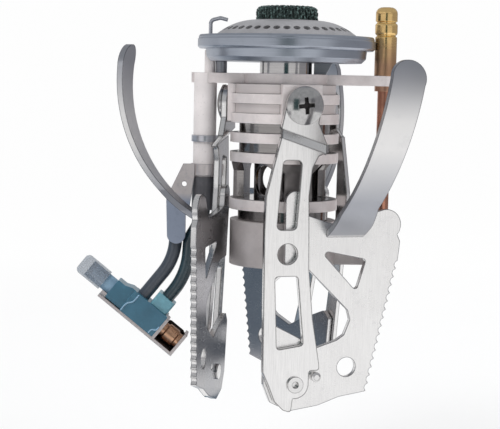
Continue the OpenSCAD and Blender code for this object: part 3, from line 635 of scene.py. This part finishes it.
def bent_bracket(name, low_tone, high_tone, level):
    """Plated bracket, dull blue-grey on its lower ear and pale above the bend"""
    finish = Finish(name)
    waver = finish.noise(120.0, detail=3.0)
    lines = finish.noise(1.0, stretch=(160.0, 4600.0, 4600.0), roughness=0.6)
    marks = finish.patches(380.0, 0.54, 0.70)
    blur = 1.5 * MM
    upper = finish.ramp(finish.height() + (waver - 0.5) * (2.0 * MM), level - blur, level + blur)
    tone = finish.blend(upper, low_tone, high_tone)
    # Painted shade: darker edges
    tone = finish.blend(finish.edges() * 0.5, tone, shade(low_tone, 0.55))
    finish.set(
        Base_Color=finish.blend(marks * 0.25, tone, shade(low_tone, 0.6)),
        Metallic=0.75,
        Roughness=0.36 + 0.14 * waver,
    )
    finish.bump(lines, 0.012 * MM, 0.5)
    return finish.material


def knit_wire(name, base):
    """Dark heat-proof wire with bright rubbed tops"""
    finish = Finish(name)
    wear_and_painted_light = finish.ramp(finish.noise(1400.0, detail=3.0), 0.50, 0.66)
    finish.set(
        Base_Color=finish.blend(wear_and_painted_light * 0.7, base, shade(base, 7.0)),
        Metallic=0.7,
        Roughness=0.30 + 0.2 * wear_and_painted_light,
    )
    finish.bump(wear_and_painted_light, 0.02 * MM, 0.4)
    return finish.material


def dress(finish, *nodes):
    """Gives CAD nodes their finish"""
    for node in nodes:
        data = NODES[node].data
        data.materials.clear()
        data.materials.append(finish)


def add_piece(name, bm, material, body):
    """Turns a built mesh into a piece that moves with a body"""
    data = bpy.data.meshes.new(name)
    bm.normal_update()
    bm.to_mesh(data)
    bm.free()
    data.polygons.foreach_set("use_smooth", [True] * len(data.polygons))
    data.materials.append(material)
    piece = bpy.data.objects.new(name, data)
    bpy.context.scene.collection.objects.link(piece)
    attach(piece, body)


def tube(bm, points, radius, sides, closed):
    """Adds a round tube through a list of points"""
    count = len(points)
    rings = []
    side = None
    for i, point in enumerate(points):
        ahead = points[(i + 1) % count] if closed or i + 1 < count else point
        behind = points[i - 1] if closed or i > 0 else point
        along = (ahead - behind).normalized()
        if side is None:
            side = along.orthogonal().normalized()
        side = (side - along * side.dot(along)).normalized()
        other = along.cross(side)
        ring = []
        for k in range(sides):
            turn = 2.0 * math.pi * k / sides
            ring.append(bm.verts.new(point + radius * (math.cos(turn) * side + math.sin(turn) * other)))
        rings.append(ring)
    spans = count if closed else count - 1
    for i in range(spans):
        first = rings[i]
        second = rings[(i + 1) % count]
        for k in range(sides):
            after = (k + 1) % sides
            bm.faces.new((first[k], first[after], second[after], second[k]))
    if not closed:
        bm.faces.new(list(reversed(rings[0])))
        bm.faces.new(rings[-1])


# Fine lines that run round the upright axis of a turned piece
RING_LINES = (90.0, 90.0, 4800.0)

# Painted shade: cut edges of the polished sheet keep this share of its faces' tone
SHEET_EDGE_SHADE = 0.20


class STOVE_OT_body(Operator):
    """Gives the base, the finned body and the cross plate their blasted skin"""

    bl_idname = "stove.body"
    bl_label = "Base, finned body and cross plate"

    def execute(self, context):
        tones = context.scene.stove_colours
        sizes = context.scene.stove_sizes
        skin = tones.blasted
        # Painted light: one blasted aluminium, in a lighter copy on the cross plate and finned body and
        # a darker copy on the base, for how light falls on them
        pale = shade(skin, 1.22)
        grain = sizes.blast_grain
        base = blasted_metal("base_aluminium", shade(skin, 0.86), grain)
        cross = blasted_metal("cross_aluminium", pale, grain)
        cored = blasted_metal("finned_aluminium", pale, grain, tones.bored)
        shroud = brushed_metal("shroud_metal", shade(skin, 0.42), 0.22, RING_LINES, 0.008 * MM)
        dress(base, "base_mount")
        dress(cross, "top_plate")
        dress(cored, "valve_block", "finned_body")
        dress(shroud, "air_shroud")
        return {"FINISHED"}


class STOVE_OT_burner(Operator):
    """Gives the burner's bowl, ring, cap, neck and struts their metal"""

    bl_idname = "stove.burner"
    bl_label = "Burner"

    def execute(self, context):
        tones = context.scene.stove_colours
        sizes = context.scene.stove_sizes
        ring = brushed_metal("ring_steel", tones.ring, 0.30, RING_LINES, 0.015 * MM)
        bowl = brushed_metal("bowl_steel", shade(tones.ring, 0.92), 0.32, RING_LINES, 0.015 * MM)
        # Painted shade: the cap's edges and port rims are made nearly black
        cap = blasted_metal("cap_metal", tones.cap, sizes.blast_grain, rim=0.12, wear_and_painted_light=0.9)
        neck = brushed_metal("bright_neck", tones.neck, 0.10, RING_LINES, 0.006 * MM, 0.08)
        strut = brushed_metal("strut_steel", shade(tones.satin, 0.72), 0.34, RING_LINES, 0.010 * MM)
        dress(ring, "burner_ring")
        dress(bowl, "burner_bowl")
        dress(cap, "burner_cap")
        dress(neck, "mixing_tube")
        dress(strut, "burner_struts")
        dress(knit_wire("mesh_core", shade(tones.wire, 0.35)), "flame_mesh")
        return {"FINISHED"}


class STOVE_OT_supports(Operator):
    """Gives the bars, toothed plates, rivets, studs and screws their polished steel"""

    bl_idname = "stove.supports"
    bl_label = "Folding pot supports"

    def execute(self, context):
        tones = context.scene.stove_colours
        sizes = context.scene.stove_sizes
        bright = tones.sheet
        lines = (1.0 / sizes.brush_width, 1.0 / sizes.brush_width, 150.0)
        bar = brushed_metal("bar_steel", bright, 0.22, lines, 0.012 * MM, 0.1, SHEET_EDGE_SHADE, 2.0)
        pin = shade(bright, 0.92)
        stud = brushed_metal("stud_steel", pin, 0.18, RING_LINES, 0.006 * MM, 0.3, SHEET_EDGE_SHADE)
        for letter, angle in UNIT_ANGLES.items():
            name = f"support_{letter}_metal"
            plate = support_metal(name, angle, bright, tones.satin, sizes.brush_width)
            dress(plate, f"pot_support_{letter}")
            dress(bar, f"leg_bar_{letter}")
            dress(stud, f"leg_rivet_{letter}", f"stop_pin_{letter}")
        dress(screw_steel("screw_steel", shade(bright, 0.62)), "pivot_screws")
        dress(stud, "wave_washers")
        return {"FINISHED"}


class STOVE_OT_heat(Operator):
    """Gives the heat return its copper rod, brass head and dark collar"""

    bl_idname = "stove.heat"
    bl_label = "Heat rod and head"

    def execute(self, context):
        tones = context.scene.stove_colours
        rise = head_high[2] - head_low[2]
        brown_low = head_low[2] + 0.15 * rise
        brown_high = head_low[2] + 0.62 * rise
        soot_low = head_low[2] - 9.0 * MM
        head = heat_brass("heat_head_brass", tones.brass, tones.tint, brown_low, brown_high)
        rod = drawn_copper("drawn_copper", tones.copper, soot_low, head_low[2])
        collar = brushed_metal("collar_brass", shade(tones.tint, 1.1), 0.34, RING_LINES, 0.010 * MM)
        dress(head, "heat_head")
        dress(rod, "heat_rod")
        dress(collar, "rod_collar")
        return {"FINISHED"}


class STOVE_OT_spark(Operator):
    """Gives the electrode, insulator, leads and igniter their ceramic, rubber and plastic"""

    bl_idname = "stove.spark"
    bl_label = "Spark igniter"

    def execute(self, context):
        tones = context.scene.stove_colours
        ceramic = fired_ceramic("fired_ceramic", tones.ceramic)
        wire = brushed_metal("electrode_steel", shade(tones.satin, 1.3), 0.26, RING_LINES, 0.006 * MM)
        clip = brushed_metal("clip_steel", tones.clip, 0.28, RING_LINES, 0.010 * MM)
        bend = tube_low[2] - 6.5 * MM
        bracket = bent_bracket("bracket_steel", tones.bracket, tones.blasted, bend)
        dress(ceramic, "electrode_ceramic", "insulator_tube")
        dress(wire, "electrode_wire")
        dress(clip, "insulator_clip")
        dress(bracket, "igniter_bracket")
        dress(soft_rubber("boot_rubber", tones.rubber, 0.42, 0.2), "insulator_boot")
        dress(soft_rubber("spark_lead_sleeve", tones.lead, 0.24, 0.6), "lead_ht")
        dress(soft_rubber("earth_lead_sleeve", tones.earth, 0.30, 0.4), "lead_earth")
        dress(moulded_plastic("collar_plastic", tones.collar, 0.30), "lead_collar")
        dress(moulded_plastic("teal_plastic", tones.teal, 0.30), "igniter_body")
        dress(banded_plunger("plunger_plastic", tones.pale, tones.knob), "igniter_plunger")
        dress(cloudy_plastic("cloudy_plastic", tones.clear), "igniter_button")
        plated = shade(tones.blasted, 0.85)
        strap = brushed_metal("igniter_frame_steel", plated, 0.36, RING_LINES, 0.010 * MM)
        dress(strap, "igniter_frame")
        # The contact hangs far below the heat, so its copper has no soot
        contact = drawn_copper("contact_copper", tones.contact, head_high[2], 2.0 * head_high[2])
        dress(contact, "igniter_contact")
        return {"FINISHED"}


class STOVE_OT_valve(Operator):
    """Gives the jet, the spindle, its knob and the seals their brass and rubber"""

    bl_idname = "stove.valve"
    bl_label = "Valve and gas fittings"

    def execute(self, context):
        tones = context.scene.stove_colours
        sizes = context.scene.stove_sizes
        brass = brushed_metal("brass_fittings", tones.brass, 0.22, RING_LINES, 0.010 * MM)
        knob = blasted_metal("knob_black", tones.knob, sizes.blast_grain)
        rubber = soft_rubber("seal_rubber", shade(tones.rubber, 0.6), 0.45)
        dress(brass, "gas_jet", "depressor_pin", "spindle_gland", "valve_spindle")
        dress(knob, "valve_knob")
        dress(rubber, "canister_seal", "spindle_seal")
        return {"FINISHED"}


class STOVE_OT_knit(Operator):
    """Knits the wire mesh that sits on the burner cap"""

    bl_idname = "stove.knit"
    bl_label = "Knitted flame mesh"

    def execute(self, context):
        sizes = context.scene.stove_sizes
        centre = (Vector(mesh_low) + Vector(mesh_high)) / 2.0
        radius = (mesh_high[0] - mesh_low[0]) / 2.0
        height = mesh_high[2] - mesh_low[2]
        corner = 1.4 * MM
        flat = radius - corner
        arc = corner * math.pi / 2.0
        whole = flat + arc + height - corner

        def on_puck(along, turn, lift):
            """A point on the puck's skin: along it from the middle, round it, and off it"""
            if along < flat:
                out, up, tilt = along, height, 0.0
            elif along < flat + arc:
                tilt = (along - flat) / corner
                out = flat + corner * math.sin(tilt)
                up = height - corner + corner * math.cos(tilt)
            else:
                out, up, tilt = radius, height - corner - (along - flat - arc), math.pi / 2.0
            out += lift * math.sin(tilt)
            up += lift * math.cos(tilt)
            x = centre.x + out * math.cos(turn)
            y = centre.y + out * math.sin(turn)
            return Vector((x, y, mesh_low[2] + up))

        # Loops reach into the next row, lean over, waver a little and start further round each row
        reach = 0.82
        lean = 0.55
        waver = 0.10
        start = 0.37
        inmost = 0.1 * MM
        bm = bmesh.new()
        course = whole / (sizes.wire_courses + 0.6)
        outmost = whole - sizes.wire_radius
        for row in range(sizes.wire_courses):
            middle = course * (row + 0.75)
            loops = max(6, round(sizes.wire_loops * min(1.0, middle / flat)))
            steps = loops * 10
            points = []
            for i in range(steps):
                phase = 2.0 * math.pi * i * loops / steps
                turn = 2.0 * math.pi * i / steps + lean * math.sin(2.0 * phase) / loops + row * start
                along = middle + reach * course * math.cos(phase)
                along += waver * course * math.sin(5.0 * turn + row)
                lift = sizes.wire_radius * (0.9 + 0.8 * math.cos(2.0 * phase + 0.8))
                points.append(on_puck(min(max(along, inmost), outmost), turn, lift))
            tube(bm, points, sizes.wire_radius, 5, True)
        wire = knit_wire("knit_wire", context.scene.stove_colours.wire)
        add_piece("flame_mesh_wire", bm, wire, "stove")
        return {"FINISHED"}


class STOVE_OT_igniter_trim(Operator):
    """Adds the moulded lips of the igniter's shell and a near-black plate behind its contact, painted
    shade inside the frame
    """

    bl_idname = "stove.igniter_trim"
    bl_label = "Igniter lips and shield"

    # Stations along the igniter's axis and heights above it, as in the solid
    shell_start = 19.0 * MM
    shell_end = 32.4 * MM
    shell_low = -3.6 * MM
    shell_top = 4.4 * MM
    half_depth = 4.0 * MM

    def execute(self, context):
        tones = context.scene.stove_colours
        lip = moulded_plastic("lip_plastic", shade(tones.pale, 1.15), 0.30)
        bm = bmesh.new()
        for side in (-1.0, 1.0):
            self.add_lip(bm, side, self.shell_start + 1.1 * MM, self.shell_low, self.shell_top)
            self.add_lip(bm, side, self.shell_end - 0.9 * MM, self.shell_low, 0.6 * MM)
        add_piece("igniter_lips", bm, lip, "stove")
        # Painted shade: near-black plate inside the igniter's frame
        shade_plate = brushed_metal("shade_plate_steel", tones.shade_plate, 0.45, RING_LINES, 0.010 * MM)
        add_piece("contact_shade_plate", self.shade_plate_mesh(), shade_plate, "stove")
        return {"FINISHED"}

    def add_lip(self, bm, side, along, low, top):
        """A raised lip that runs up one face of the shell with a jog in its middle"""
        radius = 0.24 * MM
        jog = 0.75 * MM
        margin = 0.3 * MM
        steps = 28
        points = []
        for i in range(steps + 1):
            part = i / steps
            sway = math.tanh(9.0 * (part - 0.5))
            rise = low + margin + (top - low - 2.0 * margin) * part
            points.append(on_igniter(along + jog * sway, side * self.half_depth, rise))
        tube(bm, points, radius, 8, False)

    def shade_plate_mesh(self):
        """A thin plate with rounded upper corners that closes the frame behind the contact; its
        near-black tone is painted shade
        """
        start = self.shell_end + 0.9 * MM
        end = 40.2 * MM
        near = 3.1 * MM
        far = 3.7 * MM
        corner = 1.2 * MM
        top = 3.2 * MM
        outline = [(start, self.shell_low), (end, self.shell_low)]
        for middle, first in ((end - corner, 0.0), (start + corner, 90.0)):
            for i in range(7):
                turn = math.radians(first + 15.0 * i)
                along = middle + corner * math.cos(turn)
                outline.append((along, top - corner + corner * math.sin(turn)))
        bm = bmesh.new()
        front = [bm.verts.new(on_igniter(along, near, up)) for along, up in outline]
        back = [bm.verts.new(on_igniter(along, far, up)) for along, up in outline]
        bm.faces.new(front)
        bm.faces.new(list(reversed(back)))
        for i in range(len(outline)):
            after = (i + 1) % len(outline)
            bm.faces.new((front[i], back[i], back[after], front[after]))
        bmesh.ops.recalc_face_normals(bm, faces=bm.faces[:])
        return bm


class STOVE_OT_thread(Operator):
    """Adds the ridge of the canister thread to the wall of the base's bore"""

    bl_idname = "stove.thread"
    bl_label = "Canister thread"

    def execute(self, context):
        sizes = context.scene.stove_sizes
        wall = 5.33 * MM
        low = 0.5 * MM
        high = 6.6 * MM
        steps_per_turn = 40
        pitch = sizes.thread_pitch
        foot = 0.42 * pitch
        tip = 0.10 * pitch
        turns = (high - low) / pitch
        steps = int(turns * steps_per_turn)
        bm = bmesh.new()
        rows = []
        for i in range(steps + 1):
            turn = 2.0 * math.pi * turns * i / steps
            fade = min(1.0, 4.0 * i / steps, 4.0 * (steps - i) / steps)
            crest = wall - sizes.thread_depth * fade
            z = low + (high - low) * i / steps
            row = []
            for out, up in ((wall, -foot), (crest, -tip), (crest, tip), (wall, foot)):
                row.append(bm.verts.new((out * math.cos(turn), out * math.sin(turn), z + up)))
            rows.append(row)
        for first, second in zip(rows, rows[1:]):
            for k in range(3):
                bm.faces.new((first[k], first[k + 1], second[k + 1], second[k]))
            bm.faces.new((first[3], first[0], second[0], second[3]))
        bm.faces.new(rows[0])
        bm.faces.new(list(reversed(rows[-1])))
        bmesh.ops.recalc_face_normals(bm, faces=bm.faces[:])
        skin = context.scene.stove_colours.blasted
        metal = brushed_metal("thread_metal", skin, 0.3, RING_LINES, 0.008 * MM)
        add_piece("canister_thread_ridge", bm, metal, "stove")
        return {"FINISHED"}


class STOVE_OT_stage(Operator):
    """Sets up the floor, the soft panels, the lights and the camera"""

    bl_idname = "stove.stage"
    bl_label = "Studio and camera"

    def execute(self, context):
        sizes = context.scene.stove_sizes
        scene = context.scene
        scene.view_settings.view_transform = "Standard"
        self.make_camera(scene, sizes)
        self.make_floor(scene.stove_colours.floor)
        white = (0.95, 0.95, 0.95)
        grey = (0.36, 0.36, 0.38)
        haze = (0.96, 0.94, 0.95)
        slate = (0.210, 0.265, 0.325)
        dusk = (0.045, 0.085, 0.090)
        self.make_panel("white_panel", -180.0, 180.0, 0.36, 0.22, white, grey)
        self.make_panel("camera_panel", -98.0, -79.0, 0.34, 0.22, dusk, dusk)
        self.make_panel("right_panel", -30.0, 88.0, 0.32, 0.22, grey, grey)
        self.make_panel("left_panel", 140.0, 205.0, 0.13, 0.080, slate, slate)
        self.make_panel("left_card", 150.0, 205.0, 0.13, 0.001, slate, slate, 0.015)
        self.make_panel("back_panel", 45.0, 88.0, 0.13, 0.050, haze, haze)
        self.make_panel("low_panel", -130.0, -104.0, 0.14, 0.050, grey, grey)
        self.make_world(scene)
        self.make_lamp("key_light", (-0.45, -0.55, 0.75), 0.5, 5.6)
        self.make_lamp("fill_light", (0.65, -0.45, 0.35), 0.5, 2.4)
        self.make_lamp("rim_light", (0.15, 0.60, 0.65), 0.45, 3.0)
        return {"FINISHED"}

    @staticmethod
    def keep(name, bm, material):
        """Turns a built mesh into part of the studio"""
        data = bpy.data.meshes.new(name)
        bm.to_mesh(data)
        bm.free()
        data.polygons.foreach_set("use_smooth", [True] * len(data.polygons))
        data.materials.append(material)
        obj = bpy.data.objects.new(name, data)
        bpy.context.scene.collection.objects.link(obj)
        return obj

    def make_floor(self, tone):
        """A pale round floor that sweeps up into a low wall, below the reach of the folding supports"""
        level = cad_box[0][2] - FOLDING_ROOM
        bend = 0.4
        flat = 1.6
        top = 0.8
        steps = 8
        sides = 72
        profile = [(0.3, 0.0), (0.7, 0.0), (flat, 0.0)]
        for i in range(1, steps + 1):
            turn = math.pi / 2.0 * i / steps
            profile.append((flat + bend * math.sin(turn), bend - bend * math.cos(turn)))
        profile.append((flat + bend, top))
        bm = bmesh.new()
        rings = []
        for out, up in profile:
            ring = []
            for k in range(sides):
                turn = 2.0 * math.pi * k / sides
                ring.append(bm.verts.new((out * math.cos(turn), out * math.sin(turn), level + up)))
            rings.append(ring)
        bm.faces.new(rings[0])
        for inner, outer in zip(rings, rings[1:]):
            for k in range(sides):
                after = (k + 1) % sides
                bm.faces.new((inner[k], outer[k], outer[after], inner[after]))
        finish = Finish("pale_floor")
        soft = finish.noise(6.0, detail=2.0)
        finish.set(Base_Color=finish.blend(soft, shade(tone, 0.985), tone), Roughness=0.9)
        path = finish.add("ShaderNodeLightPath")
        seen = Value(finish.tree, path.outputs["Is Camera Ray"])
        glossy = Value(finish.tree, path.outputs["Is Glossy Ray"])
        through = Value(finish.tree, path.outputs["Is Transmission Ray"])
        glow = finish.add("ShaderNodeEmission", Color=(1.0, 1.0, 1.0, 1.0), Strength=1.0)
        mix = finish.add("ShaderNodeMixShader")
        # Close to the stove more of the floor's own shade is left, so that it keeps the shadow
        far = finish.ramp(finish.reach(), 0.20, 0.60)
        finish.feed(mix.inputs[0], (0.62 + 0.36 * far) * seen.most(glossy).most(through))
        finish.feed(mix.inputs[1], finish.shader.outputs[0])
        finish.feed(mix.inputs[2], glow.outputs[0])
        finish.show(mix)
        self.keep("floor", bm, finish.material)

    def make_panel(self, name, start, end, radius, height, low_tone, high_tone, foot=None):
        """A curved panel beside the stove that only gloss shows; foot is the radius of its lower edge"""
        foot = radius if foot is None else foot
        level = cad_box[0][2]
        steps = max(4, int((end - start) / 5.0))
        bm = bmesh.new()
        rows = []
        for i in range(steps + 1):
            turn = math.radians(start + (end - start) * i / steps)
            row = []
            for part in (0.0, 0.5, 1.0):
                out = foot + (radius - foot) * part
                z = level + part * height
                row.append(bm.verts.new((out * math.cos(turn), out * math.sin(turn), z)))
            rows.append(row)
        for first, second in zip(rows, rows[1:]):
            for k in range(2):
                bm.faces.new((first[k], second[k], second[k + 1], first[k + 1]))
        finish = Finish(name)
        rise = finish.ramp(finish.height(), level + 0.35 * height, level + 0.85 * height)
        tone = finish.blend(rise, low_tone, high_tone)
        glow = finish.add("ShaderNodeEmission", Color=tone, Strength=1.0)
        finish.show(glow)
        panel = self.keep(name, bm, finish.material)
        panel.visible_camera = False
        panel.visible_diffuse = False
        panel.visible_transmission = False
        panel.visible_shadow = False

    @staticmethod
    def make_world(scene):
        """Even pale light from all round"""
        world = bpy.data.worlds.new("studio")
        world.use_nodes = True
        sky = world.node_tree.nodes["Background"]
        sky.inputs["Color"].default_value = (0.95, 0.97, 1.0, 1.0)
        sky.inputs["Strength"].default_value = 0.48
        scene.world = world

    @staticmethod
    def make_lamp(name, place, size, power):
        """A large soft lamp turned to the stove"""
        data = bpy.data.lights.new(name, "AREA")
        data.shape = "DISK"
        data.size = size
        data.energy = power
        lamp = bpy.data.objects.new(name, data)
        lamp.location = place
        middle = Vector((0.0, 0.0, 0.02))
        lamp.rotation_euler = (middle - Vector(place)).to_track_quat("-Z", "Y").to_euler()
        lamp.visible_glossy = False
        bpy.context.scene.collection.objects.link(lamp)

    @staticmethod
    def make_camera(scene, sizes):
        """The photograph's view: level with the cross plate, a little down and to the left"""
        data = bpy.data.cameras.new("camera")
        data.sensor_fit = "HORIZONTAL"
        data.sensor_width = 36.0
        data.lens = sizes.lens
        data.clip_start = 0.01
        data.clip_end = 10.0
        camera = bpy.data.objects.new("camera", data)
        down = math.radians(5.32)
        left = math.radians(1.31)
        roll = math.radians(1.2)
        turn = Matrix.Rotation(left, 4, "Z") @ Matrix.Rotation(math.pi / 2.0 - down, 4, "X")
        turn = turn @ Matrix.Rotation(roll, 4, "Z")
        camera.matrix_world = Matrix.Translation((0.0, -sizes.view_distance, sizes.eye_height)) @ turn
        scene.collection.objects.link(camera)
        scene.camera = camera


OPERATORS = (
    STOVE_OT_stage,
    STOVE_OT_body,
    STOVE_OT_burner,
    STOVE_OT_supports,
    STOVE_OT_heat,
    STOVE_OT_spark,
    STOVE_OT_valve,
    STOVE_OT_knit,
    STOVE_OT_igniter_trim,
    STOVE_OT_thread,
)


class STOVE_PT_pieces(Panel):
    """Lists the stove's pieces in the sidebar"""

    bl_idname = "STOVE_PT_pieces"
    bl_label = "Folding stove"
    bl_space_type = "VIEW_3D"
    bl_region_type = "UI"
    bl_category = "Stove"

    def draw(self, context):
        for operator in OPERATORS:
            self.layout.operator(operator.bl_idname)
        for group in (context.scene.stove_sizes, context.scene.stove_colours):
            box = self.layout.box()
            for key in group.__annotations__:
                box.prop(group, key)


CLASSES = (StoveSizes, StoveColours, *OPERATORS, STOVE_PT_pieces)


def register():
    """Adds the classes and the settings to Blender"""
    for cls in CLASSES:
        bpy.utils.register_class(cls)
    bpy.types.Scene.stove_sizes = PointerProperty(type=StoveSizes)
    bpy.types.Scene.stove_colours = PointerProperty(type=StoveColours)


def unregister():
    """Takes the classes and the settings out again"""
    del bpy.types.Scene.stove_colours
    del bpy.types.Scene.stove_sizes
    for cls in reversed(CLASSES):
        bpy.utils.unregister_class(cls)


def main():
    """Makes every piece in order"""
    register()
    bpy.ops.stove.stage()
    bpy.ops.stove.body()
    bpy.ops.stove.burner()
    bpy.ops.stove.supports()
    bpy.ops.stove.heat()
    bpy.ops.stove.spark()
    bpy.ops.stove.valve()
    bpy.ops.stove.knit()
    bpy.ops.stove.igniter_trim()
    bpy.ops.stove.thread()


if __name__ == "__main__":
    main()
